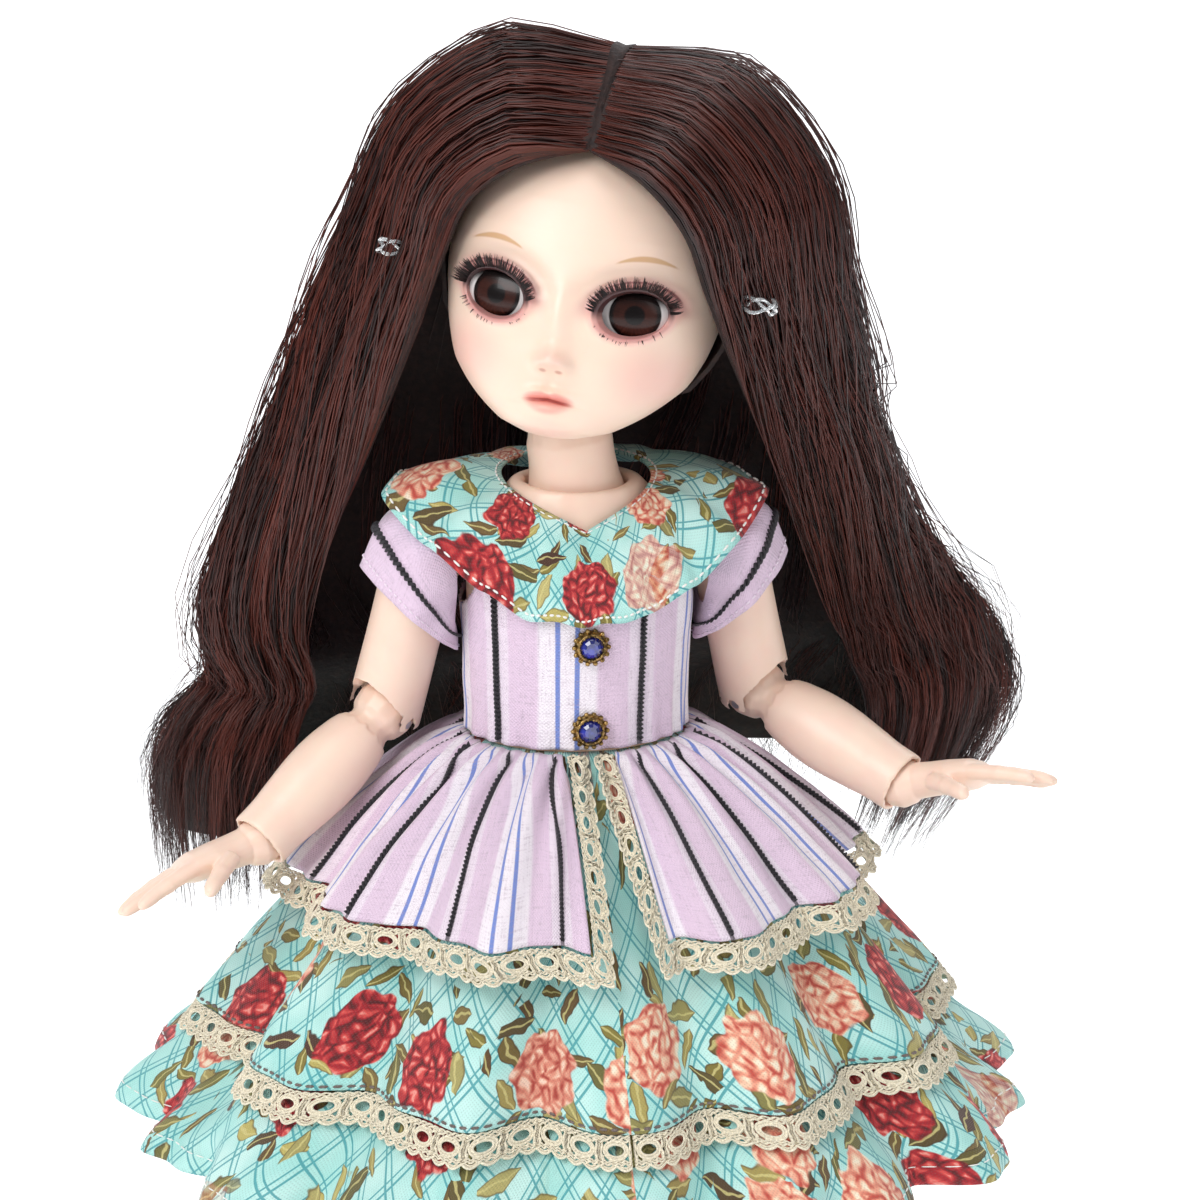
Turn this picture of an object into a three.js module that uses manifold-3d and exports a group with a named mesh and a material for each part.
// Jointed doll of hard plastic in a two-tiered skirt, standing with both arms held out.
// Millimetres, +Z up. The doll faces -Y, and its own left side is +X.
// The group's origin is the middle of the bounding box, on the ground.

import * as THREE from 'three';
import { mergeVertices } from 'three/addons/utils/BufferGeometryUtils.js';
import Module from 'manifold-3d';

const wasm = await Module();
wasm.setup();

// Clearances and cutting
const gap = 0.3; // between pieces that touch
const overrun = 2; // how far a cutter runs past what it cuts
const weld = 0.001; // points nearer than this are one point

// Heights, each measured from the joint below it
const ankleHeight = 20;
const shinLength = 62;
const thighLength = 64;
const hipToWaist = 26;
const waistToShoulder = 37;
const shoulderToNeck = 9;
const neckLength = 11.2;

const kneeZ = ankleHeight + shinLength;
const hipZ = kneeZ + thighLength;
const waistZ = hipZ + hipToWaist;
const shoulderZ = waistZ + waistToShoulder;
const neckBaseZ = shoulderZ + shoulderToNeck;

// Torso
const torsoHalfWidth = 21.4;
const torsoHalfDepth = 18.4;
const torsoTopAboveShoulder = 12;
const waistSpigotRadius = 11;
const waistSpigotHeight = 7;
const hipHalfWidth = 20.5;
const hipHalfDepth = 15.5;
const hipX = 14.5;
const shoulderX = 28.5;

// Arms
const upperArmLength = 36;
const forearmLength = 36;
const handLength = 31;
const shoulderBallRadius = 5.9;
const shoulderDomeRadius = 7.4;
const shoulderPegRadius = 2;
const shoulderPegLength = 16.5;
const upperArmRadius = 7.2;
const elbowBallRadius = 6.1;
const forearmRadius = 7.2;
const wristRadius = 6.1;
const wristBallRadius = 4.8;
const wristPegRadius = 1.5;
const wristPegLength = 13;
const wristPegBallRadius = 2.2;
const pinRadius = 0.9;
const pinSeat = 0.45; // how deep a hinge pin sits in the socket's ears
const palmHalfWidth = 6.4;
const palmHalfThickness = 3.4;
const palmLength = 17;
const fingerRadius = 1.75;
const fingerTipRadius = 1.25;

// Legs
const hipBallRadius = 8.4;
const hipDomeRadius = 11.2;
const hipPegRadius = 2.3;
const hipPegLength = 13.7;
const thighRadius = 11.4;
const thighEndRadius = 8.8;
const kneeBallRadius = 7.4;
const calfRadius = 8.6;
const ankleRadius = 5.2;
const ankleBallRadius = 4.5;
const elbowFlex = 95; // degrees from straight
const kneeFlex = 95;
const lipLength = 1; // what the upper limb's socket reaches past the pivot at its back
const earLength = 2; // what it reaches past the pivot beside the pin
const earHalfWidth = 1.9;

// Shoes
const soleLength = 46.5;
const soleHalfWidth = 8.2;
const soleThickness = 3;
const heelBehindAnkle = 18; // under the weight of the hair
const shoeHeight = 13;
const shoeWall = 1.1;
const footHalfWidth = 6.6;

// Head, measured from its own centre
const headHalfHeight = 29.5;
const headHalfWidth = 26.4;
const headDepth = 28.6;
const headWall = 2.6;
const headAbovePivot = 30.5;
const headBeforePivot = 4;
const neckRadius = 8;
const neckBallRadius = 9.4;
const neckSeatClearance = 0.7;
const headPinRadius = 1.8;
const headPinBallRadius = 3.2;
const headPinFlangeRadius = 6.2;
const headPinFlangeHeight = 1.4;
const eyeRadius = 7.2;
const eyeX = 13.1;
const eyeZ = -4.2;
const eyeSetBack = 8.9; // from the face to the middle of the eye
const eyeOpeningHalfWidth = 6.9;
const eyeOpeningHalfHeight = 4.4;
const lashLength = 1.6;
const lashForward = 1.4;
const lashThickness = 0.4;
const noseHeight = 4.4;
const noseZ = -14.2;
const lipHeight = 1.2;
const lipZ = -21.7;
const noseHalfWidth = 3;
const lipHalfWidth = 5;
const scalpThickness = 0.8;
const scalpEase = 1.5; // from the skull's own surface to the wig's cap

// How the doll stands in the photograph, in degrees
const headYaw = -19;
const headRoll = 7;
const headPitch = -8;
const neckLean = -7; // towards the doll's right side

// Directions of the upper arm, forearm and hand, as shares of their lengths
const armShares = {
  left: { upper: [0.22, 0.22, -0.95], forearm: [0.69, -0.62, -0.37], hand: [0.88, -0.46, 0.24] },
  right: { upper: [-0.22, 0.15, -0.96], forearm: [-0.72, -0.41, -0.57], hand: [-0.92, -0.32, -0.22] },
};

// Clothes
const clothThickness = 0.6;
const bodiceEase = 0.75; // from the torso to the middle of the cloth
const collarNeckHalfWidth = 14.2;
const collarNeckHalfDepth = 13.6;
const collarReach = 37;
const collarDrop = 16; // from the neckline's front to the front of the edge
const collarFrontDrop = 4.2; // of the neckline's front below the neck's base
const collarRise = 8.8; // from the neckline's front to its back
const collarWingShare = 1.3; // the height of the edge at the shoulders
const collarBulgeShare = 0.13;
const collarDroopShare = { left: 0.08, right: 0 };

const armholeRadius = 10.6;
const armholeInset = 14; // where the armhole's cut starts, from the middle
const armholeDrop = 1.7; // of the armhole's middle below the shoulder's
const sleeveRadius = 12.2;
const skirtWaistHalfWidth = 20;
const skirtWaistHalfDepth = 17;
const peplumWaistHalfWidth = 21.5;
const peplumWaistHalfDepth = 18.6;
const peplumDrop = 26;
const peplumHemRadius = 54;
const peplumFoldHeight = 2.6;
const laceWidth = 7;
const peplumSplit = { left: 6.5, right: 0.5 }; // from the middle to each front edge at the hem
const upperTierDrop = 55;
const upperTierHemRadius = 69;
const upperTierFoldHeight = 4.4;
const lowerTierTopDrop = 50;
const lowerTierDrop = 77;
const lowerTierHemRadius = 84;
const lowerTierFoldHeight = 4.6;
const tierInset = 3; // from the upper tier in to the lower one

// Buttons
const buttonRadius = 3.75;
const buttonThickness = 1.7;
const gemRadius = 2.3;
const gemHeight = 1.5;
const upperButtonAboveWaist = 21.4;
const lowerButtonAboveWaist = 4.4;

// Hair, measured from the crown and from the body's middle
const hairReach = 88;
const hairDepth = 72;
const hairDrop = 170; // from the head's centre to the longest tips
const hairThickness = 6;
const hairLift = 1.8; // from the wig's cap to the locks
const partingHalfWidth = 0.5;
const hairTieRadius = 2.6;
const hairTieThickness = 0.8;
const hairTieHeight = 3;

const degrees = Math.PI / 180;
const sides = [
  { name: 'left', sign: 1 },
  { name: 'right', sign: -1 },
];

// Materials
function paint(color, roughness, metalness = 0) {
  return new THREE.MeshStandardMaterial({ color, roughness, metalness });
}

const skin = paint(0xf2cfbd, 0.45);
const innerPlastic = paint(0xe8dfd2, 0.5);
const steel = paint(0xb9bcc0, 0.3, 1);
const hairFibre = paint(0x3a1710, 0.4);
const scalpFabric = paint(0x1c0d0a, 0.9);
const eyeGlass = paint(0x2b1510, 0.1);
const lashFibre = paint(0x1a0f0d, 0.6);
const pinkCotton = paint(0xdcc3dc, 0.9);
const floralCotton = paint(0x9fd3cb, 0.9);
const lace = paint(0xe9e0bf, 0.9);
const gold = paint(0x6d5a35, 0.35, 1);
const blueGem = paint(0x16236e, 0.1);
const clearBand = paint(0xd9e2e4, 0.2);
const shoeLeather = paint(0x2b1a18, 0.4);
const shoeRubber = paint(0x191414, 0.7);

// Solids and meshes

// A copy with one point at each place, no flat triangles and its faces pointing out
function closedGeometry(geometry) {
  const bare = new THREE.BufferGeometry();
  bare.setAttribute('position', geometry.getAttribute('position'));
  bare.setIndex(geometry.index);
  const merged = mergeVertices(bare, weld);
  const place = merged.getAttribute('position');
  const kept = [];
  for (let i = 0; i < merged.index.count; i += 3) {
    const [a, b, c] = [0, 1, 2].map((k) => merged.index.getX(i + k));
    if (a !== b && b !== c && a !== c) kept.push(a, b, c);
  }
  const corner = (k) => new THREE.Vector3().fromBufferAttribute(place, kept[k]);
  let volume = 0;
  for (let i = 0; i < kept.length; i += 3) volume += corner(i).dot(corner(i + 1).cross(corner(i + 2)));
  if (volume < 0) kept.reverse();
  merged.setIndex(kept);
  return merged;
}

function toSolid(geometry) {
  const closed = closedGeometry(geometry);
  const vertProperties = new Float32Array(closed.getAttribute('position').array);
  const triVerts = new Uint32Array(closed.index.array);
  return new wasm.Manifold(new wasm.Mesh({ numProp: 3, vertProperties, triVerts }));
}

// The largest body of a solid, as a geometry
function fromSolid(solid) {
  const largest = solid.decompose().reduce((best, body) => (body.volume() > best.volume() ? body : best));
  const { vertProperties, triVerts } = largest.getMesh();
  const geometry = new THREE.BufferGeometry();
  geometry.setAttribute('position', new THREE.BufferAttribute(vertProperties, 3));
  geometry.setIndex(new THREE.BufferAttribute(triVerts, 1));
  return geometry;
}

function carve(geometry, ...cutters) {
  let solid = toSolid(geometry);
  for (const cutter of cutters) solid = solid.subtract(toSolid(cutter));
  return fromSolid(solid);
}

function join(...geometries) {
  return fromSolid(geometries.map(toSolid).reduce((whole, solid) => whole.add(solid)));
}

function addMesh(parent, name, geometry, material) {
  const closed = closedGeometry(geometry);
  closed.computeVertexNormals();
  const mesh = new THREE.Mesh(closed, material);
  mesh.name = name;
  parent.add(mesh);
  return mesh;
}

// Shapes

// A body of revolution about Z, from [radius, height] points
function lathe(profile, segments) {
  const points = profile.map(([r, z]) => new THREE.Vector2(Math.max(r, 0), z));
  return new THREE.LatheGeometry(points, segments).rotateX(Math.PI / 2);
}

function ball(radius, segments, x = 0, y = 0, z = 0) {
  const sphere = new THREE.SphereGeometry(radius, segments, Math.ceil(segments / 2));
  return sphere.rotateX(Math.PI / 2).translate(x, y, z);
}

// A faceted ball wide enough to hold a round one of that radius with the gap round it
function socket(radius, segments, x = 0, y = 0, z = 0) {
  return ball((radius + gap) / Math.cos(Math.PI / segments) ** 2, segments, x, y, z);
}

// The way that a rod from the origin sweeps between two directions
function sweep(radius, length, from, to, segments = 6) {
  const side = from.clone().cross(to).setLength(radius + gap);
  const between = from.clone().add(to).normalize();
  const corners = [vector(0, 0, 0), from, between, to].map((d) => d.clone().multiplyScalar(length));
  const faces = [-1, 1].map((sign) => corners.map((corner) => corner.clone().addScaledVector(side, sign)));
  const ends = [from, to].map((direction) => bore(radius + gap, length, direction, segments));
  return join(...ends, ringsSolid(faces));
}

// A cylinder from the origin along a direction, wide enough to hold a round rod of that radius
function bore(radius, length, direction, segments = 16) {
  const r = radius / Math.cos(Math.PI / segments);
  return rod(r, length, direction, segments);
}

function rod(radius, length, direction, segments = 12) {
  const turn = new THREE.Quaternion().setFromUnitVectors(vector(0, 1, 0), direction.clone().normalize());
  const shape = new THREE.CylinderGeometry(radius, radius, length, segments).translate(0, length / 2, 0);
  return shape.applyQuaternion(turn);
}

// Points of a quarter or half circle, for a lathe profile: from angle a to angle b above the horizontal
function arc(radius, centreZ, a, b, steps) {
  return Array.from({ length: steps + 1 }, (_, i) => {
    const angle = (a + ((b - a) * i) / steps) * degrees;
    return [radius * Math.cos(angle), centreZ + radius * Math.sin(angle)];
  });
}

// A solid through closed rings of points, with both ends closed by a fan
function ringsSolid(rings) {
  const count = rings[0].length;
  const points = rings.flat();
  const middle = (ring) => ring.reduce((sum, p) => sum.add(p), new THREE.Vector3()).divideScalar(count);
  points.push(middle(rings[0]), middle(rings.at(-1)));
  const index = [];
  rings.slice(1).forEach((_, row) => {
    for (let j = 0; j < count; j++) {
      const a = row * count + j;
      const b = row * count + ((j + 1) % count);
      index.push(a, b, a + count, b, b + count, a + count);
    }
  });
  const last = (rings.length - 1) * count;
  for (let j = 0; j < count; j++) {
    const next = (j + 1) % count;
    index.push(points.length - 2, next, j);
    index.push(points.length - 1, last + j, last + next);
  }
  return new THREE.BufferGeometry().setFromPoints(points).setIndex(index);
}

// A solid sheet: surface(u, v) is its middle, and its sides lie the given distances along the normal.
// A sheet with wrapped set closes on itself along u.
function sheetSolid(surface, columns, rows, outside, inside, wrapped) {
  const step = 0.001;
  const across = wrapped ? columns : columns + 1;
  const layers = [[], []];
  for (let i = 0; i <= rows; i++) {
    for (let j = 0; j < across; j++) {
      const [u, v] = [j / columns, i / rows];
      const [u0, v0] = wrapped ? [u, Math.min(v, 1 - step)] : [Math.min(u, 1 - step), Math.min(v, 1 - step)];
      const here = surface(u0, v0);
      const along = surface(u0 + step, v0).sub(here);
      const down = surface(u0, v0 + step).sub(here);
      const normal = along.cross(down).normalize();
      const point = surface(u, v);
      layers[0].push(point.clone().addScaledVector(normal, outside));
      layers[1].push(point.clone().addScaledVector(normal, -inside));
    }
  }
  const points = layers.flat();
  const other = layers[0].length;
  const index = [];
  const quad = (a, b, c, d) => index.push(a, b, c, b, d, c);
  const at = (i, j) => i * across + (j % across);
  for (let j = 0; j < columns; j++) {
    for (let i = 0; i < rows; i++) {
      quad(at(i, j), at(i, j + 1), at(i + 1, j), at(i + 1, j + 1));
      quad(other + at(i, j), other + at(i + 1, j), other + at(i, j + 1), other + at(i + 1, j + 1));
    }
    quad(at(0, j + 1), at(0, j), other + at(0, j + 1), other + at(0, j));
    quad(at(rows, j), at(rows, j + 1), other + at(rows, j), other + at(rows, j + 1));
  }
  for (let i = 0; i < rows && !wrapped; i++) {
    quad(at(i, 0), at(i + 1, 0), other + at(i, 0), other + at(i + 1, 0));
    quad(at(i + 1, columns), at(i, columns), other + at(i + 1, columns), other + at(i, columns));
  }
  return new THREE.BufferGeometry().setFromPoints(points).setIndex(index);
}

function ellipseRing(halfWidth, halfDepth, z, count, y = 0) {
  return Array.from({ length: count }, (_, j) => {
    const a = (2 * Math.PI * j) / count;
    return new THREE.Vector3(halfWidth * Math.cos(a), y + halfDepth * Math.sin(a), z);
  });
}

const smooth = (t) => t * t * (3 - 2 * t);
const mix = (a, b, t) => a + (b - a) * t;
const vector = (x, y, z) => new THREE.Vector3(x, y, z);

// The row of a table at a place between its rows; each row starts with its own place
function tableAt(table, at, ease = (t) => t) {
  const next = Math.max(table.findIndex((row) => row[0] >= at), 1);
  const t = ease((at - table[next - 1][0]) / (table[next][0] - table[next - 1][0]));
  return table[next].map((value, k) => mix(table[next - 1][k], value, t));
}

const doll = new THREE.Group();
const body = new THREE.Group();
doll.add(body);

// Torso: rings of [height above the waist, half width, half depth, shift] as shares
const torsoShares = [
  [0, 0.95, 0.92, 0],
  [0.18, 0.955, 0.94, 0],
  [0.4, 0.975, 1.0, -0.01],
  [0.56, 0.995, 1.0, -0.04],
  [0.7, 1.0, 0.86, -0.01],
  [0.82, 0.93, 0.71, 0],
  [1, 0.57, 0.585, 0],
];
const torsoHeight = waistToShoulder + torsoTopAboveShoulder;
const torsoTopZ = waistZ + torsoHeight;

function torsoRings(ease, base, top, count) {
  return torsoShares.map(([height, width, depth, shift]) => {
    const z = waistZ + mix(base, torsoHeight + top, height);
    const [halfWidth, halfDepth] = [width * torsoHalfWidth + ease, depth * torsoHalfDepth + ease];
    return ellipseRing(halfWidth, halfDepth, z, count, shift * torsoHalfDepth);
  });
}

// How far each thigh swings back and forward, in degrees
const legSwings = [-30, 45];

function pelvisShell() {
  const rings = [
    [-0.3, 0.55, 0.5],
    [-0.14, 0.86, 0.85],
    [0.15, 1, 1],
    [0.5, 0.98, 1],
    [0.8, 0.93, 0.98],
    [1, 0.91, 0.97],
  ].map(([heightShare, widthShare, depthShare]) => {
    const z = Math.min(hipZ + heightShare * hipToWaist, waistZ - gap);
    return ellipseRing(widthShare * hipHalfWidth, depthShare * hipHalfDepth, z, 18);
  });
  const spigotBase = waistZ - gap - overrun;
  const spigot = rod(waistSpigotRadius, overrun + gap + waistSpigotHeight, vector(0, 0, 1), 14);
  const whole = join(ringsSolid(rings), spigot.translate(0, 0, spigotBase));
  const swung = (angle) => vector(0, -Math.sin(angle * degrees), -Math.cos(angle * degrees));
  const [back, front] = legSwings.map(swung);
  const cutters = sides.flatMap(({ sign }) => [
    socket(hipDomeRadius, 12, sign * hipX, 0, hipZ),
    sweep(thighRadius, 2 * hipHalfWidth, back, front, 12).translate(sign * hipX, 0, hipZ),
    bore(hipPegRadius + gap, hipPegLength + gap, vector(-sign, 0, 0), 10).translate(sign * hipX, 0, hipZ),
  ]);
  return carve(whole, ...cutters);
}

function chestShell() {
  const waistSeat = bore(waistSpigotRadius + gap, waistSpigotHeight + gap + overrun, vector(0, 0, 1), 14);
  const cutters = sides.flatMap(({ sign }) => [
    socket(shoulderDomeRadius, 12, sign * shoulderX, 0, shoulderZ),
    bore(shoulderPegRadius + gap, shoulderPegLength + gap, vector(-sign, 0, 0), 10).translate(
      sign * shoulderX,
      0,
      shoulderZ,
    ),
  ]);
  const neckSeat = socket(neckBallRadius, 14, 0, 0, neckBaseZ);
  const whole = ringsSolid(torsoRings(0, 0, 0, 20));
  return carve(whole, waistSeat.translate(0, 0, waistZ - overrun), neckSeat, ...cutters);
}

addMesh(body, 'pelvis_shell', pelvisShell(), skin);
addMesh(body, 'chest_shell', chestShell(), skin);

// Neck and head

// Rings of the head: [height, half width, front, back] as shares of its sizes
const headShares = [
  [1, 0, -0.033, 0.033],
  [0.9, 0.41, 0.36, 0.44],
  [0.81, 0.6, 0.57, 0.64],
  [0.645, 0.785, 0.74, 0.82],
  [0.484, 0.905, 0.835, 0.93],
  [0.3, 0.98, 0.9, 1.01],
  [0, 1, 0.95, 1.03],
  [-0.16, 0.975, 0.95, 1],
  [-0.32, 0.94, 0.94, 0.92],
  [-0.45, 0.895, 0.93, 0.82],
  [-0.6, 0.82, 0.92, 0.64],
  [-0.72, 0.7, 0.91, 0.4],
  [-0.82, 0.57, 0.895, 0.2],
  [-0.92, 0.4, 0.86, -0.02],
  [-0.977, 0.19, 0.76, -0.3],
  [-1, 0, 0.53, -0.53],
];
const headSquareness = 2.25;
const superPower = (value) => Math.sign(value) * Math.abs(value) ** (2 / headSquareness);
const bell = (value, width) => Math.exp(-((value / width) ** 2));

// How far the nose and lips stand out of the plain ovoid
function featureHeight(x, z) {
  const tip = noseHeight * bell(x, noseHalfWidth) * bell(z - noseZ, noseHalfWidth);
  const bridgeShare = 0.35;
  const bridge = bridgeShare * noseHeight * bell(x, noseHalfWidth) * bell(z - noseZ / 2, 2 * noseHalfWidth);
  const lips = lipHeight * bell(x, lipHalfWidth) * bell(z - lipZ, lipHalfWidth / 2);
  return tip + bridge + lips;
}

// One ring of the head's surface, moved out by ease. Its points lie closer together at the face.
function headRing([height, width, front, back], ease, count) {
  const crowding = 0.35;
  const z = height * (headHalfHeight + ease);
  const easeHere = width > 0 ? ease : 0;
  const halfWidth = width * headHalfWidth + easeHere;
  const halfDepth = ((front + back) / 2) * headDepth + easeHere;
  const middle = ((back - front) / 2) * headDepth;
  return Array.from({ length: count }, (_, j) => {
    const even = (2 * Math.PI * j) / count;
    const angle = even - crowding * Math.sin(even);
    const x = halfWidth * superPower(Math.sin(angle));
    const facing = Math.max(Math.cos(angle), 0);
    const feature = width > 0 && facing > 0 ? featureHeight(x, z) : 0;
    return vector(x, middle - halfDepth * superPower(Math.cos(angle)) - feature, z);
  });
}

const headSolid = (ease, count) => ringsSolid(headShares.map((row) => headRing(row, ease, count)));

// How far back the plain face lies at a place
function faceY(x, z) {
  const level = z / headHalfHeight;
  const below = headShares.findIndex((row) => row[0] <= level);
  const [upper, lower] = [headShares[below - 1], headShares[below]];
  const t = (upper[0] - level) / (upper[0] - lower[0]);
  const [, width, front, back] = upper.map((value, k) => mix(value, lower[k], t));
  const halfDepth = ((front + back) / 2) * headDepth;
  const middle = ((back - front) / 2) * headDepth;
  const across = Math.abs(x / (width * headHalfWidth)) ** headSquareness;
  return middle - halfDepth * (1 - across) ** (1 / headSquareness);
}

const headTurn = new THREE.Quaternion()
  .setFromAxisAngle(vector(0, 1, 0), headRoll * degrees)
  .multiply(new THREE.Quaternion().setFromAxisAngle(vector(0, 0, 1), headYaw * degrees))
  .multiply(new THREE.Quaternion().setFromAxisAngle(vector(1, 0, 0), headPitch * degrees));
const neckTurn = new THREE.Quaternion().setFromAxisAngle(vector(0, 1, 0), neckLean * degrees);
const neck = new THREE.Group();
neck.name = 'neck';
neck.position.set(0, 0, neckBaseZ);
neck.quaternion.copy(neckTurn);
body.add(neck);
const headPivot = new THREE.Group();
headPivot.name = 'head_pivot';
headPivot.position.copy(vector(0, 0, neckLength).applyQuaternion(neckTurn).add(neck.position));
headPivot.quaternion.copy(headTurn);
body.add(headPivot);
const head = new THREE.Group();
head.position.set(0, -headBeforePivot, headAbovePivot);
headPivot.add(head);
const pivotInHead = vector(0, headBeforePivot, -headAbovePivot);

// The dividing plane between the face and the cap, in the head's own frame
const capNormal = vector(0, 0.78, 0.63);
const capOffsetShare = 0.58;
const capOffset = capOffsetShare * headHalfHeight;
const eyeOpeningTop = 2 * eyeSetBack;

function eyeCentre(sign) {
  return vector(sign * eyeX, faceY(eyeX, eyeZ) + eyeSetBack, eyeZ);
}

function eyeCutters({ sign }) {
  const centre = eyeCentre(sign);
  const opening = rod(1, eyeOpeningTop, vector(0, -1, 0), 14);
  opening.scale(eyeOpeningHalfWidth, 1, eyeOpeningHalfHeight).translate(centre.x, centre.y, centre.z);
  return [socket(eyeRadius, 12, centre.x, centre.y, centre.z), opening];
}

function headShellWhole() {
  const hollowShares = headShares.filter(([height]) => height < 0.85 && height > -0.65);
  const hollow = ringsSolid(hollowShares.map((row) => headRing(row, -headWall, 10)));
  const neckSeat = ball(neckRadius + neckSeatClearance, 14, ...pivotInHead);
  const pinHole = bore(headPinRadius + gap, headAbovePivot, vector(0, 0, 1)).translate(...pivotInHead);
  return carve(headSolid(0, 24), hollow, neckSeat, pinHole, ...sides.flatMap(eyeCutters));
}

const wholeHead = toSolid(headShellWhole());
const facePart = wholeHead.trimByPlane(capNormal.clone().negate().toArray(), -capOffset);
const capPart = wholeHead.trimByPlane(capNormal.toArray(), capOffset + gap);
addMesh(head, 'face_shell', fromSolid(facePart), skin);
addMesh(head, 'head_cap', fromSolid(capPart), skin);

for (const { name, sign } of sides) {
  const centre = eyeCentre(sign);
  addMesh(head, `eye_${name}`, ball(eyeRadius, 12, centre.x, centre.y, centre.z), eyeGlass);
  const lashes = (u, v) => {
    const angle = mix(15, 165, u) * degrees;
    const reach = gap + v * lashLength;
    const x = centre.x + (eyeOpeningHalfWidth + reach) * Math.cos(angle);
    const z = centre.z + (eyeOpeningHalfHeight + reach) * Math.sin(angle);
    return vector(x, faceY(x, z) - gap - lashThickness - v * lashForward, z);
  };
  const half = lashThickness / 2;
  addMesh(head, `lashes_${name}`, sheetSolid(lashes, 8, 1, half, half, false), lashFibre);
}

// The wig's cap lies on the skull, behind a plane from the hairline to the nape
const scalpNormal = vector(0, 0.85, 0.53);
const scalpOffsetShare = -0.09;
const scalpOutside = toSolid(headSolid(scalpEase + scalpThickness, 16));
const scalpWhole = scalpOutside.subtract(toSolid(headSolid(scalpEase, 16)));
const scalp = scalpWhole.trimByPlane(scalpNormal.toArray(), scalpOffsetShare * headHalfHeight);
addMesh(head, 'wig_cap', fromSolid(scalp), scalpFabric);

// The farthest leans of the head's pin within the neck, in degrees
const pinLeans = [-14, 14];

function neckPost() {
  const flareShare = 0.6;
  const profile = [
    ...arc(neckBallRadius, 0, -90, 20, 5),
    [neckRadius + gap, flareShare * neckLength],
    ...arc(neckRadius, neckLength, 0, 90, 4),
  ];
  const upright = vector(0, 0, 1).applyQuaternion(headTurn).applyQuaternion(neckTurn.clone().invert());
  const [low, high] = pinLeans.map((lean) => upright.clone().applyAxisAngle(vector(0, 1, 0), lean * degrees));
  const slot = sweep(headPinRadius, 2 * neckRadius, low, high, 10).translate(0, 0, neckLength);
  return carve(lathe(profile, 16), socket(headPinBallRadius, 10, 0, 0, neckLength), slot);
}

// The pin that holds the head down on the neck: a ball in the neck and a flange inside the head
function headPin() {
  const floorShare = 0.6;
  const flangeZ = headAbovePivot - floorShare * headHalfHeight + gap + headWall;
  const profile = [
    ...arc(headPinBallRadius, 0, -90, 50, 4),
    [headPinRadius, headPinBallRadius],
    [headPinRadius, flangeZ],
    [headPinFlangeRadius, flangeZ],
    [headPinFlangeRadius, flangeZ + headPinFlangeHeight],
    [0, flangeZ + headPinFlangeHeight],
  ];
  return lathe(profile, 12);
}

addMesh(neck, 'neck_post', neckPost(), skin);
addMesh(headPivot, 'head_pin', headPin(), innerPlastic);

// Limbs. Each segment's own frame has its pivot at the origin, lies along -Z and bends towards +Y.

function limbTurn(direction, hinge) {
  const z = direction.clone().negate().normalize();
  const x = hinge.clone().normalize();
  const basis = new THREE.Matrix4().makeBasis(x, z.clone().cross(x), z);
  return new THREE.Quaternion().setFromRotationMatrix(basis);
}

// The socket at the lower end of a segment, for the ball of the next one
function hingeCutters(length, ballRadius, wallRadius, flex) {
  const room = ballRadius + gap;
  const bent = vector(0, Math.sin(flex * degrees), -Math.cos(flex * degrees));
  const way = sweep(ballRadius, 3 * wallRadius, vector(0, 0, -1), bent, 10).translate(0, 0, -length);
  const reach = 2 * wallRadius;
  const outline = new THREE.Shape([
    new THREE.Vector2(-reach, -lipLength),
    new THREE.Vector2(earHalfWidth, -earLength),
    new THREE.Vector2(wallRadius + gap, wallRadius),
    new THREE.Vector2(reach, wallRadius),
    new THREE.Vector2(reach, -reach),
    new THREE.Vector2(-reach, -reach),
  ]);
  const trim = new THREE.ExtrudeGeometry(outline, { depth: 2 * reach, bevelEnabled: false });
  trim.translate(0, 0, -reach).rotateY(Math.PI / 2).rotateX(Math.PI / 2).translate(0, 0, -length);
  const pinReach = room + pinSeat;
  const pinBore = bore(pinRadius + gap, 2 * pinReach, vector(1, 0, 0), 10).translate(-pinReach, 0, -length);
  return [socket(ballRadius, 10, 0, 0, -length), way, trim, pinBore];
}

function hingePin(ballRadius, length) {
  const half = ballRadius + pinSeat;
  return rod(pinRadius, 2 * half, vector(1, 0, 0), 10).translate(-half, 0, -length);
}

// The bore of a hinge pin right through a ball
function crossBore(ballRadius) {
  return bore(pinRadius + gap, 4 * ballRadius, vector(1, 0, 0), 10).translate(-2 * ballRadius, 0, 0);
}

function jointBall(radius, pegRadius, pegLength, sign) {
  return join(ball(radius, 10), rod(pegRadius, pegLength, vector(-sign, 0, 0), 8));
}

// A segment with a dome at its top and a socket for the next ball at its end
function upperSegment(profile, length, dome, ballRadius, wallRadius, flex) {
  const outline = [...arc(dome.radius, 0, 90, 0, 3), ...profile, [0, -length - lipLength]];
  const solid = lathe(outline, 10);
  return carve(
    solid,
    socket(dome.ball, 10),
    sweep(dome.peg, 3 * dome.ball, ...dome.directions),
    ...hingeCutters(length, ballRadius, wallRadius, flex),
  );
}

// The farthest directions of the ball's peg, in the frame of a segment that turns about the lift axis
function pegDirections(sign, turn, liftAngles) {
  const lift = vector(0, -sign, 0);
  return liftAngles.map((angle) =>
    vector(-sign, 0, 0).applyAxisAngle(lift, -angle * degrees).applyQuaternion(turn.clone().invert()),
  );
}

// Shares of the forearm's length and of its radius, from the elbow's ball down
const forearmShares = [
  [0.25, 0.885],
  [0.4, 1],
  [0.56, 1],
  [0.78, 0.9],
];

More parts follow.
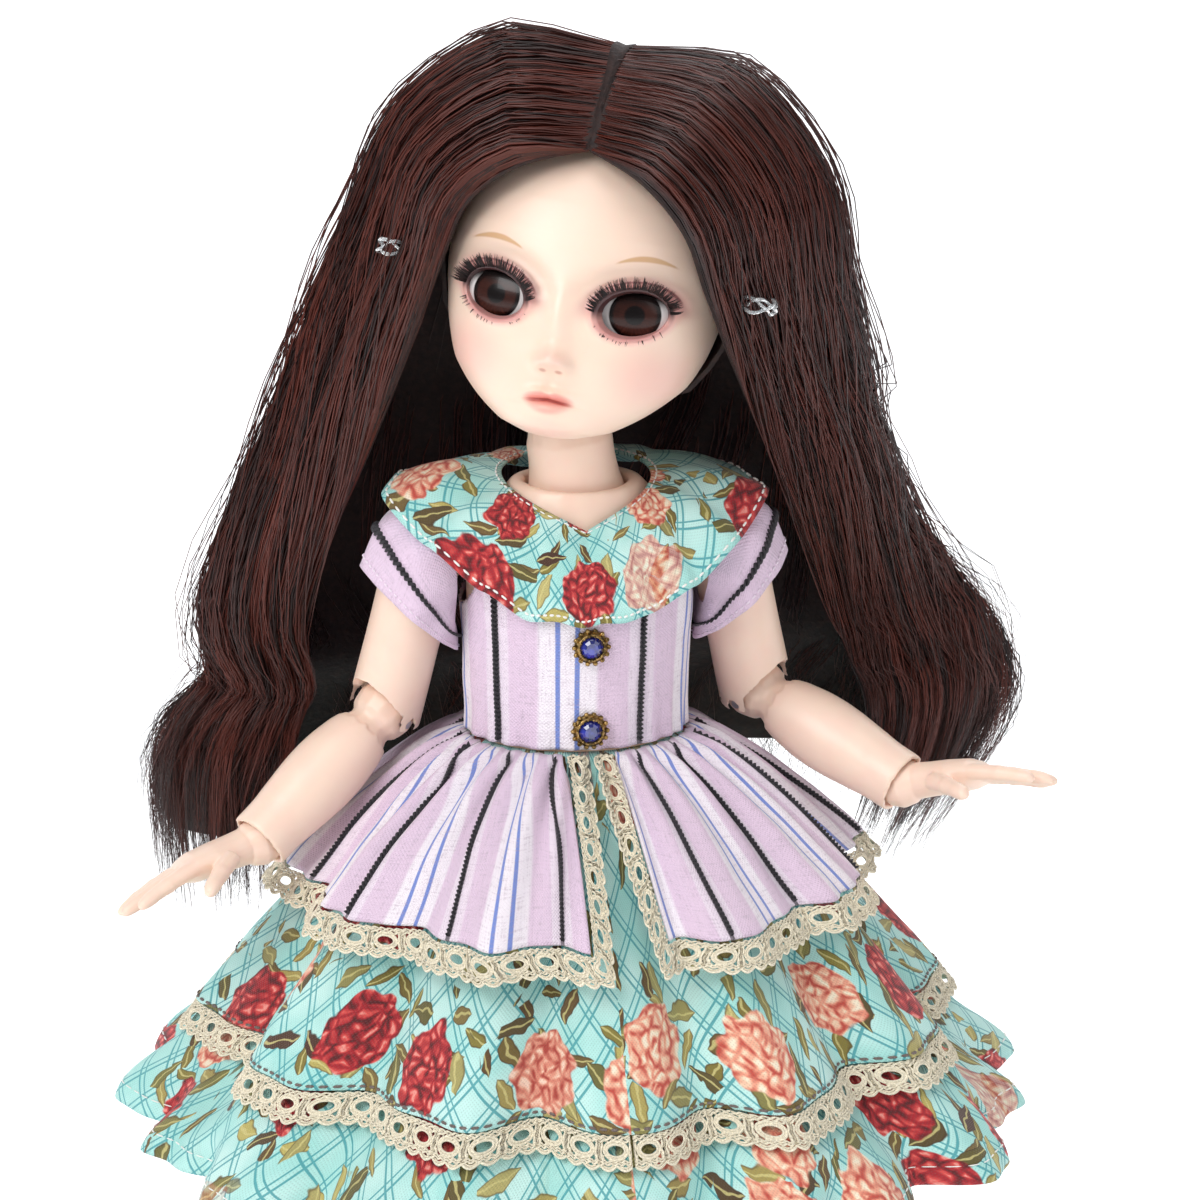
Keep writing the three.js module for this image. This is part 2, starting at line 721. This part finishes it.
function forearm() {
  const end = forearmLength;
  const profile = [
    ...arc(elbowBallRadius, 0, 90, -45, 6),
    ...forearmShares.map(([along, radius]) => [radius * forearmRadius, -along * end]),
    [wristRadius, wristBallRadius - end],
    [wristRadius, -end],
    [0, -end],
  ];
  const pinBore = crossBore(elbowBallRadius);
  const seat = socket(wristBallRadius, 10, 0, 0, -end);
  const pegBore = bore(wristPegRadius + gap, wristPegLength + gap, vector(0, 0, 1), 8).translate(0, 0, -end);
  return carve(lathe(profile, 12), pinBore, seat, pegBore);
}

// The hand: its palm bends towards +Y at the back, and the thumb lies on the given side
const fingerShares = [
  { across: 0.72, length: 0.86, spread: 9 },
  { across: 0.26, length: 1, spread: 2 },
  { across: -0.22, length: 0.96, spread: -4 },
  { across: -0.68, length: 0.8, spread: -11 },
];

const thumbShare = 0.85;
const thumbDirectionShare = [0.62, 0.25, 0.75];

function finger(length, base, direction) {
  const profile = [
    [0, -fingerRadius],
    [fingerRadius, 0],
    [fingerRadius, length / 2],
    [fingerTipRadius, length - fingerTipRadius],
    [0, length],
  ];
  const turn = new THREE.Quaternion().setFromUnitVectors(vector(0, 0, 1), direction.clone().normalize());
  return lathe(profile, 5).applyQuaternion(turn).translate(...base);
}

function handSolid(thumbSign, bendAngles) {
  const palmRings = [
    [0.15, 0.66, 1.05],
    [0.35, 0.72, 1],
    [0.6, 0.95, 1],
    [0.85, 1, 0.9],
    [1, 0.93, 0.6],
  ].map(([along, widthShare, depthShare]) =>
    ellipseRing(widthShare * palmHalfWidth, depthShare * palmHalfThickness, -along * palmLength, 10),
  );
  const fingerReach = handLength - palmLength;
  const fingers = fingerShares.map(({ across, length, spread }) => {
    const base = vector(thumbSign * across * palmHalfWidth, 0, fingerRadius - palmLength);
    const lean = spread * degrees;
    const droopShare = 0.12;
    const direction = vector(thumbSign * Math.sin(lean), -droopShare, -Math.cos(lean));
    return finger(length * (fingerReach + fingerRadius), base, direction);
  });
  const thumbAlongShare = 0.45;
  const thumbX = thumbSign * (palmHalfWidth - fingerRadius);
  const thumbBase = vector(thumbX, -fingerRadius / 2, -thumbAlongShare * palmLength);
  const [thumbOut, thumbForward, thumbDown] = thumbDirectionShare;
  const thumbAim = vector(thumbSign * thumbOut, -thumbForward, -thumbDown);
  const thumb = finger(thumbShare * fingerReach, thumbBase, thumbAim);
  const whole = join(ball(wristBallRadius, 10), ringsSolid(palmRings), ...fingers, thumb);
  const bent = (angle) => vector(0, Math.sin(angle * degrees), Math.cos(angle * degrees));
  const slot = sweep(wristPegRadius, 2 * wristBallRadius, ...bendAngles.map(bent));
  return carve(whole, socket(wristPegBallRadius, 8), slot);
}

function wristPeg() {
  return join(ball(wristPegBallRadius, 8), rod(wristPegRadius, wristPegLength, vector(0, 0, 1), 8));
}

// The upper arm's outline below its dome, as shares of its length and radius
const upperArmShares = [
  [0.2, 1],
  [0.55, 0.985],
  [0.85, 1],
];

// The farthest lifts of the arms and bends of the wrists, with a little room, in degrees
const liftAngles = [-4, 42];
const wristBends = [-24, 46];

for (const { name, sign } of sides) {
  const aim = (share) => vector(...armShares[name][share]).normalize();
  const [upperAim, foreAim, handAim] = [aim('upper'), aim('forearm'), aim('hand')];
  const elbowAxis = upperAim.clone().cross(foreAim).normalize();
  const wristAxis = foreAim.clone().cross(handAim).normalize();
  const armTurn = limbTurn(upperAim, elbowAxis);
  const place = (parent, at, turn, label) => {
    const group = new THREE.Group();
    group.name = label;
    group.position.copy(at);
    const parentTurn = parent.userData.turn ?? new THREE.Quaternion();
    group.quaternion.copy(parentTurn.clone().invert().multiply(turn));
    group.userData.turn = turn;
    parent.add(group);
    return group;
  };
  const shoulderPlace = vector(sign * shoulderX, 0, shoulderZ);
  const shoulder = place(body, shoulderPlace, new THREE.Quaternion(), `shoulder_${name}`);
  const shoulderBall = jointBall(shoulderBallRadius, shoulderPegRadius, shoulderPegLength, sign);
  addMesh(shoulder, `shoulder_ball_${name}`, shoulderBall, innerPlastic);

  const arm = place(shoulder, vector(0, 0, 0), armTurn, `arm_${name}`);
  const armProfile = upperArmShares.map(([along, wide]) => [wide * upperArmRadius, -along * upperArmLength]);
  armProfile.push([upperArmRadius, -upperArmLength - lipLength]);
  const dome = {
    radius: shoulderDomeRadius,
    ball: shoulderBallRadius,
    peg: shoulderPegRadius,
    directions: pegDirections(sign, armTurn, liftAngles),
  };
  const upper = upperSegment(armProfile, upperArmLength, dome, elbowBallRadius, upperArmRadius, elbowFlex);
  addMesh(arm, `upper_arm_${name}`, upper, skin);
  addMesh(arm, `elbow_pin_${name}`, hingePin(elbowBallRadius, upperArmLength), steel);

  const fore = place(arm, vector(0, 0, -upperArmLength), limbTurn(foreAim, elbowAxis), `elbow_${name}`);
  addMesh(fore, `forearm_${name}`, forearm(), skin);
  const wrist = place(fore, vector(0, 0, -forearmLength), limbTurn(foreAim, wristAxis), `wrist_${name}`);
  addMesh(wrist, `wrist_peg_${name}`, wristPeg(), innerPlastic);
  const hand = place(wrist, vector(0, 0, 0), limbTurn(handAim, wristAxis), `hand_pivot_${name}`);
  const frontSide = vector(0, -1, 0).applyQuaternion(hand.userData.turn.clone().invert()).x;
  addMesh(hand, `hand_${name}`, handSolid(Math.sign(frontSide), wristBends), skin);
}

// Legs, straight down. Their frames are the body's own, because a knee bends towards +Y.
const thighShares = [
  [0.18, 1],
  [0.45, 0.94],
  [0.75, 0.82],
];
const calfShares = [
  [0.15, 0.86],
  [0.3, 1],
  [0.48, 0.94],
  [0.7, 0.7],
];
const spreadAngles = [-3, 23];

function shin() {
  const profile = [
    ...arc(kneeBallRadius, 0, 90, -45, 6),
    ...calfShares.map(([along, radius]) => [radius * calfRadius, -along * shinLength]),
    [ankleRadius, 2 * ankleBallRadius - shinLength],
    [ankleRadius, ankleBallRadius + gap - shinLength],
    ...arc(ankleBallRadius, -shinLength, 45, -90, 4),
  ];
  const pinBore = crossBore(kneeBallRadius);
  return carve(lathe(profile, 12), pinBore);
}

// The outline of the foot, heel first: [length, half width] as shares
const soleShares = [
  [0, 0],
  [0.03, 0.42],
  [0.12, 0.74],
  [0.3, 0.82],
  [0.5, 0.82],
  [0.68, 0.97],
  [0.82, 1],
  [0.93, 0.78],
  [0.985, 0.4],
  [1, 0],
];

// A ring of the foot's outline, from its heel at +Y to its toe, narrowed by the share at the given height
function soleRing(length, halfWidth, heelY, z) {
  const edge = new THREE.SplineCurve(soleShares.map(([along, across]) => new THREE.Vector2(along, across)));
  const half = edge.getPoints(7);
  const near = half.map((p) => vector(p.y * halfWidth, heelY - p.x * length, z));
  const far = half.slice(1, -1).reverse().map((p) => vector(-p.y * halfWidth, heelY - p.x * length, z));
  return [...near, ...far];
}

// The foot's rings from its sole up: [height, length, width, start before the heel] as shares
const footShares = [
  [0, 1, 1, 0],
  [0.25, 1, 1, 0],
  [0.48, 0.88, 0.94, 0.03],
  [0.66, 0.56, 0.85, 0.1],
  [0.84, 0.42, 0.82, 0.14],
  [1, 0.38, 0.8, 0.16],
];

function footSolid(ease) {
  const inset = shoeWall + gap;
  const length = soleLength - 2 * inset;
  const heelY = heelBehindAnkle - inset + ease;
  const rings = footShares.map(([height, lengthShare, widthShare, startShare]) => {
    const z = mix(soleThickness + gap, ankleHeight - gap, height) + (height > 0 ? ease : -ease);
    const halfWidth = footHalfWidth * widthShare + ease;
    const start = startShare * length + (1 - widthShare) * footHalfWidth;
    return soleRing(length * lengthShare + 2 * ease, halfWidth, heelY - start, z);
  });
  return ringsSolid(rings);
}

function shoeUpper() {
  const floor = soleThickness + gap;
  const rows = [
    [0, 1, 1],
    [0.45, 1, 1.02],
    [0.75, 0.95, 0.98],
    [1, 0.85, 0.88],
  ];
  const rings = rows.map(([height, lengthShare, widthShare]) => {
    const heelY = heelBehindAnkle - (1 - widthShare) * soleHalfWidth;
    const z = mix(floor, shoeHeight, height);
    return soleRing(soleLength * lengthShare, soleHalfWidth * widthShare, heelY, z);
  });
  const [throatLengthShare, throatWidthShare] = [0.56, 0.86];
  const throatHalfWidth = throatWidthShare * footHalfWidth;
  const throatZ = soleThickness + 2 * shoeWall;
  const throatHeelY = heelBehindAnkle - 2 * shoeWall;
  const throat = soleRing(throatLengthShare * soleLength, throatHalfWidth, throatHeelY, throatZ);
  const throatTop = throat.map((p) => vector(p.x, p.y, shoeHeight + overrun));
  return carve(ringsSolid(rings), footSolid(gap), ringsSolid([throat, throatTop]));
}

function shoeSole() {
  const base = soleRing(soleLength, soleHalfWidth, heelBehindAnkle, 0);
  const top = soleRing(soleLength, soleHalfWidth, heelBehindAnkle, soleThickness);
  return ringsSolid([base, top]);
}

for (const { name, sign } of sides) {
  const leg = new THREE.Group();
  leg.name = `hip_${name}`;
  leg.position.set(sign * hipX, 0, hipZ);
  body.add(leg);
  addMesh(leg, `hip_ball_${name}`, jointBall(hipBallRadius, hipPegRadius, hipPegLength, sign), innerPlastic);
  const thighProfile = thighShares.map(([along, radius]) => [radius * thighRadius, -along * thighLength]);
  thighProfile.push([thighEndRadius, -thighLength - lipLength]);
  const dome = {
    radius: hipDomeRadius,
    ball: hipBallRadius,
    peg: hipPegRadius,
    directions: pegDirections(sign, new THREE.Quaternion(), spreadAngles),
  };
  const thigh = upperSegment(thighProfile, thighLength, dome, kneeBallRadius, thighEndRadius, kneeFlex);
  addMesh(leg, `thigh_${name}`, thigh, skin);
  addMesh(leg, `knee_pin_${name}`, hingePin(kneeBallRadius, thighLength), steel);

  const knee = new THREE.Group();
  knee.name = `knee_${name}`;
  knee.position.set(0, 0, -thighLength);
  leg.add(knee);
  addMesh(knee, `shin_${name}`, shin(), skin);

  const ankle = new THREE.Group();
  ankle.name = `ankle_${name}`;
  ankle.position.set(0, 0, -shinLength);
  knee.add(ankle);
  const ankleSeat = socket(ankleBallRadius, 12, 0, 0, ankleHeight);
  const foot = carve(footSolid(0), ankleSeat);
  addMesh(ankle, `foot_${name}`, foot.translate(0, 0, -ankleHeight), skin);
  addMesh(ankle, `shoe_upper_${name}`, shoeUpper().translate(0, 0, -ankleHeight), shoeLeather);
  addMesh(ankle, `shoe_sole_${name}`, shoeSole().translate(0, 0, -ankleHeight), shoeRubber);
}

// Bodice, collar and sleeves
const collarFrontZ = neckBaseZ - collarFrontDrop;

function bodice() {
  const outer = ringsSolid(torsoRings(bodiceEase + clothThickness / 2, gap / 2, 0, 20));
  const inner = ringsSolid(torsoRings(bodiceEase - clothThickness / 2, -overrun, overrun, 20));
  const armholeZ = shoulderZ - armholeDrop;
  const armholes = sides.map(({ sign }) => {
    const hole = bore(armholeRadius - clothThickness, shoulderX, vector(sign, 0, 0), 14);
    return hole.translate(sign * armholeInset, 0, armholeZ);
  });
  const hem = 4 * clothThickness; // what the collar covers of the bodice
  const [halfWidth, halfDepth] = [collarNeckHalfWidth + hem, collarNeckHalfDepth + hem];
  const neckHole = ringsSolid(
    [collarFrontZ - hem, torsoTopZ + overrun].map((z) => ellipseRing(halfWidth, halfDepth, z, 20)),
  );
  return carve(outer, inner, neckHole, ...armholes);
}

addMesh(body, 'bodice', bodice(), pinkCotton);

// The collar's edge, from the front round to the back: [turn from the front, reach, height] as shares
const collarEdgeShares = [
  [0, 0.59, 0],
  [0.16, 0.63, 0.06],
  [0.27, 0.73, 0.3],
  [0.38, 0.87, 0.67],
  [0.5, 1, 1],
  [0.56, 0.93, 1.08],
  [0.72, 0.66, 1.02],
  [1, 0.56, 0.95],
];

function collarSurface(u, v) {
  const turn = Math.abs(((u % 1) + 1) % 1 * 2 - 1);
  const around = (2 * u - 1) * Math.PI;
  const towards = vector(Math.sin(around), -Math.cos(around), 0);
  const [, reachShare, heightShare] = tableAt(collarEdgeShares, turn, smooth);
  const neckline = vector(collarNeckHalfWidth * towards.x, collarNeckHalfDepth * towards.y, 0);
  neckline.z = collarFrontZ + collarRise * (1 - (1 - turn) ** 3);
  const droop = (towards.x > 0 ? collarDroopShare.left : collarDroopShare.right) * Math.abs(towards.x) ** 8;
  const edge = towards.clone().multiplyScalar(collarReach * reachShare);
  edge.z = collarFrontZ - collarDrop + collarWingShare * collarDrop * heightShare * (1 - droop);
  const bulge = collarBulgeShare * collarDrop * Math.sin(Math.PI * v);
  return neckline.lerp(edge, v).add(vector(0, 0, bulge));
}

const clothHalf = clothThickness / 2;
addMesh(body, 'collar', sheetSolid(collarSurface, 36, 2, clothHalf, clothHalf, true), floralCotton);

// A sleeve's rings, from the armhole to the cuff: [reach past the shoulder, height, lean, radius]
// as shares of the dome's radius, and the lean in degrees from the vertical
const sleeveShares = [
  [-0.6, -0.33, 90, 0.92],
  [-0.22, -0.48, 75, 1],
  [0.2, -0.91, 58, 1.05],
  [0.47, -1.74, 43, 0.98],
];

const sleeveDepthShare = 0.93;

function sleeveSurface({ name, sign }) {
  const [, armBack, armUp] = armShares[name].upper;
  const rings = sleeveShares.map(([reach, height, lean, radius]) => {
    const fall = height * shoulderDomeRadius;
    const x = sign * (shoulderX + reach * shoulderDomeRadius);
    const centre = vector(x, (fall * armBack) / armUp, shoulderZ + fall);
    const up = vector(sign * Math.cos(lean * degrees), 0, Math.sin(lean * degrees));
    return { centre, up, radius: radius * sleeveRadius };
  });
  return (u, v) => {
    const angle = 2 * Math.PI * u;
    const points = rings.map(({ centre, up, radius }) =>
      centre
        .clone()
        .addScaledVector(up, radius * Math.cos(angle))
        .add(vector(0, sleeveDepthShare * radius * Math.sin(angle), 0)),
    );
    return new THREE.CatmullRomCurve3(points).getPoint(v);
  };
}

for (const side of sides) {
  const cloth = sheetSolid(sleeveSurface(side), 16, 4, clothHalf, clothHalf, true);
  addMesh(body, `sleeve_${side.name}`, cloth, pinkCotton);
}

// Buttons: a pronged setting with a cut stone, standing on the bodice
function buttonSetting() {
  const floor = buttonThickness / 3;
  return lathe(
    [
      [0, 0],
      [buttonRadius, 0],
      [buttonRadius, floor],
      [gemRadius + 3 * gap, buttonThickness],
      [gemRadius + gap, buttonThickness],
      [gemRadius + gap, floor],
      [0, floor],
    ],
    16,
  );
}

function gemSolid() {
  const base = buttonThickness / 3 + gap;
  const tableShare = 0.55;
  return lathe(
    [
      [0, base],
      [gemRadius, base],
      [gemRadius, base + gemHeight / 2],
      [tableShare * gemRadius, base + gemHeight],
      [0, base + gemHeight],
    ],
    10,
  );
}

function bodiceFrontY(height) {
  const [, , depth, shift] = tableAt(torsoShares, height / torsoHeight);
  return (shift - depth) * torsoHalfDepth - bodiceEase - clothThickness / 2;
}

for (const [name, height] of [
  ['upper', upperButtonAboveWaist],
  ['lower', lowerButtonAboveWaist],
]) {
  const front = Math.min(...[-1, 0, 1].map((sign) => bodiceFrontY(height + sign * buttonRadius)));
  const button = new THREE.Group();
  button.position.set(0, front - gap, waistZ + height);
  button.rotation.x = Math.PI / 2;
  body.add(button);
  addMesh(button, `button_setting_${name}`, buttonSetting(), gold);
  addMesh(button, `button_gem_${name}`, gemSolid(), blueGem);
}

// Skirt. Every layer is a surface of a turn about Z and a way from the waist to the hem.

// The folds run from nothing at the waist to their height at the hem
const foldDetailShare = 0.3; // of the folds twice as close
const foldOnsetShare = 0.9; // of the way down, where they have their full height
function foldCurve(turn, count, drift) {
  return Math.cos(count * turn + drift * Math.sin(3 * turn)) - foldDetailShare * Math.cos(2 * count * turn);
}

function skirtPoint(layer, turn, along) {
  const flare = along ** layer.flareShare;
  const towardsWaist = 1 - flare;
  const onset = Math.min(1, along / foldOnsetShare);
  const folds = layer.foldHeight * foldCurve(turn, layer.folds, layer.drift) * onset;
  const width = layer.waistHalfWidth * towardsWaist + layer.hemRadius * flare + folds;
  const depth = layer.waistHalfDepth * towardsWaist + layer.hemRadius * flare + folds;
  const sag = layer.drop * along ** (2 - layer.flareShare);
  return vector(width * Math.sin(turn), -depth * Math.cos(turn), waistZ - 2 * gap - sag);
}

const laceShare = (layer) => laceWidth / Math.hypot(layer.drop, layer.hemRadius - layer.waistHalfWidth);

const peplumLayer = {
  waistHalfWidth: peplumWaistHalfWidth,
  waistHalfDepth: peplumWaistHalfDepth,
  hemRadius: peplumHemRadius,
  drop: peplumDrop,
  foldHeight: peplumFoldHeight,
  folds: 12,
  drift: 0.8,
  flareShare: 0.86,
};
const upperTierLayer = {
  waistHalfWidth: skirtWaistHalfWidth,
  waistHalfDepth: skirtWaistHalfDepth,
  hemRadius: upperTierHemRadius,
  drop: upperTierDrop,
  foldHeight: upperTierFoldHeight,
  folds: 12,
  drift: 0.7,
  flareShare: 0.93,
};

// The peplum is open at the front: its edges part from the waist to the hem
function peplumTurn(u, along, margin) {
  const radius = mix(peplumWaistHalfDepth, peplumHemRadius, along);
  const edge = (split) => (split * along ** 1.5 + gap + margin) / radius;
  const [first, last] = [edge(peplumSplit.left), edge(peplumSplit.right)];
  return mix(first, 2 * Math.PI - last, u);
}

const peplumCloth = (u, v) => skirtPoint(peplumLayer, peplumTurn(u, v, laceWidth / 2 + 2 * gap), v);
addMesh(body, 'peplum', sheetSolid(peplumCloth, 48, 3, clothHalf, clothHalf, false), pinkCotton);

// Lace down one front edge, round the hem and up the other
function laceStrip(u, v) {
  const hemEnd = 1 + laceShare(peplumLayer);
  const hemStart = 1 + ((2 * gap) / laceWidth) * laceShare(peplumLayer);
  const edgeShare = 0.1;
  const side = Math.min(u, 1 - u);
  const inward = mix(laceWidth / 2, 0, v);
  if (side < edgeShare) {
    const along = mix(0, mix(hemStart, hemEnd, v), side / edgeShare);
    return skirtPoint(peplumLayer, peplumTurn(u < 0.5 ? 0 : 1, along, inward), along);
  }
  const round = (u - edgeShare) / (1 - 2 * edgeShare);
  const along = mix(hemStart, hemEnd, v);
  return skirtPoint(peplumLayer, peplumTurn(round, along, inward), along);
}

addMesh(body, 'lace_peplum', sheetSolid(laceStrip, 60, 1, clothHalf, clothHalf, false), lace);

const upperTierCloth = (u, v) => skirtPoint(upperTierLayer, 2 * Math.PI * u, v);
const upperTier = sheetSolid(upperTierCloth, 60, 2, clothHalf, clothHalf, true);
addMesh(body, 'skirt_upper_tier', upperTier, floralCotton);
const upperTierLace = (u, v) => {
  const share = laceShare(upperTierLayer);
  return skirtPoint(upperTierLayer, 2 * Math.PI * u, 1 + share * mix(gap / laceWidth, 1, v));
};
addMesh(body, 'lace_upper_tier', sheetSolid(upperTierLace, 60, 1, clothHalf, clothHalf, true), lace);

// The lower tier hangs from the inside of the upper one and ruffles out below its lace
const lowerTierRuffles = 19;
const lowerTierFlareShare = 0.6; // of the way from the upper tier's line out to the hem's own radius

function lowerTierCloth(u, v) {
  const turn = 2 * Math.PI * u;
  const drop = mix(lowerTierTopDrop, lowerTierDrop, v);
  const along = (drop / upperTierDrop) ** (1 / (2 - upperTierLayer.flareShare));
  const guide = skirtPoint(upperTierLayer, turn, along);
  const below = (drop - upperTierDrop - laceWidth) / (lowerTierDrop - upperTierDrop - laceWidth);
  const clear = smooth(Math.max(below, 0));
  const guideRadius = Math.hypot(guide.x, guide.y);
  const ruffle = lowerTierFoldHeight * foldCurve(turn, lowerTierRuffles, upperTierLayer.drift);
  const outer = mix(guideRadius, lowerTierHemRadius, lowerTierFlareShare) + ruffle;
  const radius = mix(guideRadius - tierInset, outer, clear);
  return vector(radius * Math.sin(turn), -radius * Math.cos(turn), guide.z);
}

const lowerTier = sheetSolid(lowerTierCloth, 72, 2, clothHalf, clothHalf, true);
addMesh(body, 'skirt_lower_tier', lowerTier, floralCotton);

// Hair. Locks from the parting to the tips follow guides, from the face's edge round to the back.
// Each guide has points on the head, as shares of its sizes, and points below it, as shares of the hair's.
const hairOnHeadShares = [
  [[-0.13, -0.75, 0.84], [0.44, -0.92, 0.68], [0.78, -0.87, 0.4], [1.04, -0.66, 0.1], [1, -0.45, -0.45]],
  [[-0.13, -0.33, 1.46], [0.72, -0.4, 1.26], [1.3, -0.36, 0.8], [1.58, -0.28, 0.17], [1.66, -0.16, -0.41]],
  [[-0.13, 0.13, 1.6], [0.84, 0.13, 1.38], [1.48, 0.2, 0.86], [1.82, 0.3, 0.2], [1.94, 0.36, -0.41]],
  [[-0.13, 0.6, 1.46], [0.62, 0.78, 1.26], [1.1, 0.97, 0.8], [1.36, 1.12, 0.2], [1.44, 1.2, -0.45]],
  [[-0.13, 0.94, 1.24], [-0.13, 1.2, 0.96], [-0.13, 1.4, 0.5], [-0.13, 1.5, 0], [-0.13, 1.5, -0.55]],
];
const hairBelowShares = {
  right: [
    [[0.42, -0.02, 0.16], [0.57, 0.27, 0.4], [0.56, 0.29, 0.5], [0.62, 0.27, 0.59], [0.72, 0.53, 0.8]],
    [[0.55, 0.02, 0.16], [0.68, 0.27, 0.4], [0.66, 0.29, 0.5], [0.77, 0.28, 0.59], [0.75, 0.47, 0.82]],
    [[0.64, 0.2, 0.16], [0.75, 0.37, 0.4], [0.73, 0.38, 0.5], [0.87, 0.4, 0.59], [0.83, 0.66, 0.81]],
    [[0.44, 0.5, 0.16], [0.5, 0.56, 0.4], [0.5, 0.6, 0.5], [0.58, 0.72, 0.59], [0.57, 0.92, 0.81]],
    [[-0.05, 0.62, 0.16], [-0.05, 0.62, 0.4], [-0.05, 0.66, 0.5], [-0.05, 0.88, 0.6], [-0.05, 1, 0.77]],
  ],
  left: [
    [[0.42, -0.02, 0.16], [0.58, 0.28, 0.4], [0.65, 0.32, 0.49], [0.7, 0.32, 0.57], [0.72, 0.53, 0.76]],
    [[0.57, 0.02, 0.16], [0.73, 0.28, 0.4], [0.82, 0.32, 0.49], [0.86, 0.34, 0.57], [0.76, 0.46, 0.77]],
    [[0.68, 0.2, 0.16], [0.85, 0.37, 0.4], [0.96, 0.4, 0.48], [1, 0.44, 0.58], [0.77, 0.56, 0.78]],
    [[0.44, 0.5, 0.16], [0.54, 0.57, 0.4], [0.6, 0.62, 0.49], [0.62, 0.74, 0.58], [0.58, 0.9, 0.77]],
    [[-0.05, 0.62, 0.16], [-0.05, 0.62, 0.4], [-0.05, 0.66, 0.5], [-0.05, 0.88, 0.6], [-0.05, 1, 0.77]],
  ],
};
const headOffset = vector(0, -headBeforePivot, headAbovePivot).applyQuaternion(headTurn);
const headCentre = headOffset.add(headPivot.position);
const headCentreZ = neckBaseZ + neckLength + headAbovePivot;

const onHead = (x, y, z) =>
  vector(x * headHalfWidth, y * headDepth, z * headHalfHeight).applyQuaternion(headTurn).add(headCentre);
const belowHead = (x, y, z) => vector(x * hairReach, y * hairDepth, headCentreZ - z * hairDrop);

function hairGuides({ name, sign }) {
  return hairOnHeadShares.map((near, k) => {
    const far = hairBelowShares[name][k];
    const points = [
      ...near.map(([x, y, z]) => onHead(sign * x, y, z)),
      ...far.map(([x, y, z]) => belowHead(sign * x, y, z)),
    ];
    return new THREE.CatmullRomCurve3(points, false, 'catmullrom', 0.5);
  });
}

// The parting's plane runs over the head and down the middle of the back: [y, z] shares of its two rims
const partingOnHeadShares = [
  [[-0.2, 0.3], [-2, 1.6]],
  [[0, 0.5], [0, 2.6]],
  [[0.2, 0.3], [2, 1.6]],
  [[0.3, 0], [3, 0]],
];
const partingBelowShares = [
  [[0, 0.3], [2, 0.3]],
  [[0, 1.2], [2, 1.2]],
];

function partingSolid() {
  const rims = [0, 1].map((k) => [
    ...partingOnHeadShares.map((pair) => onHead(0, ...pair[k])),
    ...partingBelowShares.map((pair) => belowHead(0, ...pair[k])),
  ]);
  const rows = partingOnHeadShares.length + partingBelowShares.length - 1;
  const surface = (u, v) => {
    const at = Math.min(Math.floor(v * rows), rows - 1);
    const [inner, outer] = rims.map((rim) => rim[at].clone().lerp(rim[at + 1], v * rows - at));
    return inner.lerp(outer, u);
  };
  return sheetSolid(surface, 1, rows, partingHalfWidth, partingHalfWidth, false);
}

function hairSolid(side) {
  const guides = hairGuides(side);
  const surface = (u, v) => new THREE.CatmullRomCurve3(guides.map((guide) => guide.getPoint(v))).getPoint(u);
  const [outside, inside] = side.sign > 0 ? [hairThickness, 0] : [0, hairThickness];
  const locks = sheetSolid(surface, 6, 15, outside, inside, false);
  const skullEase = scalpEase + scalpThickness + hairLift;
  const skull = headSolid(skullEase, 12).applyQuaternion(headTurn).translate(...headCentre);
  const tieRoom = hairTie(side.sign, gap).applyQuaternion(headTurn).translate(...headCentre);
  return carve(locks, skull, tieRoom, partingSolid());
}

// A small clear band holds a thin lock at each temple
const tieShares = [1.3, -0.5, 0.02];

function hairTie(sign, ease) {
  const [inner, outer] = [hairTieRadius - ease, hairTieRadius + hairTieThickness + ease];
  const rim = hairTieHeight / 2 + ease;
  const profile = [
    [inner, -rim],
    [outer, -rim],
    [outer, rim],
    [inner, rim],
    [inner, -rim],
  ];
  const [x, y, z] = tieShares;
  return lathe(profile, 10).translate(sign * x * headHalfWidth, y * headDepth, z * headHalfHeight);
}

for (const side of sides) {
  addMesh(body, `hair_${side.name}`, hairSolid(side), hairFibre);
  addMesh(head, `hair_tie_${side.name}`, hairTie(side.sign, 0), clearBand);
}

// The whole is moved so that the middle of its base is the origin
const bounds = new THREE.Box3().setFromObject(doll, true);
const centre = bounds.getCenter(vector(0, 0, 0));
doll.position.set(-centre.x, -centre.y, -bounds.min.z);

export default doll;
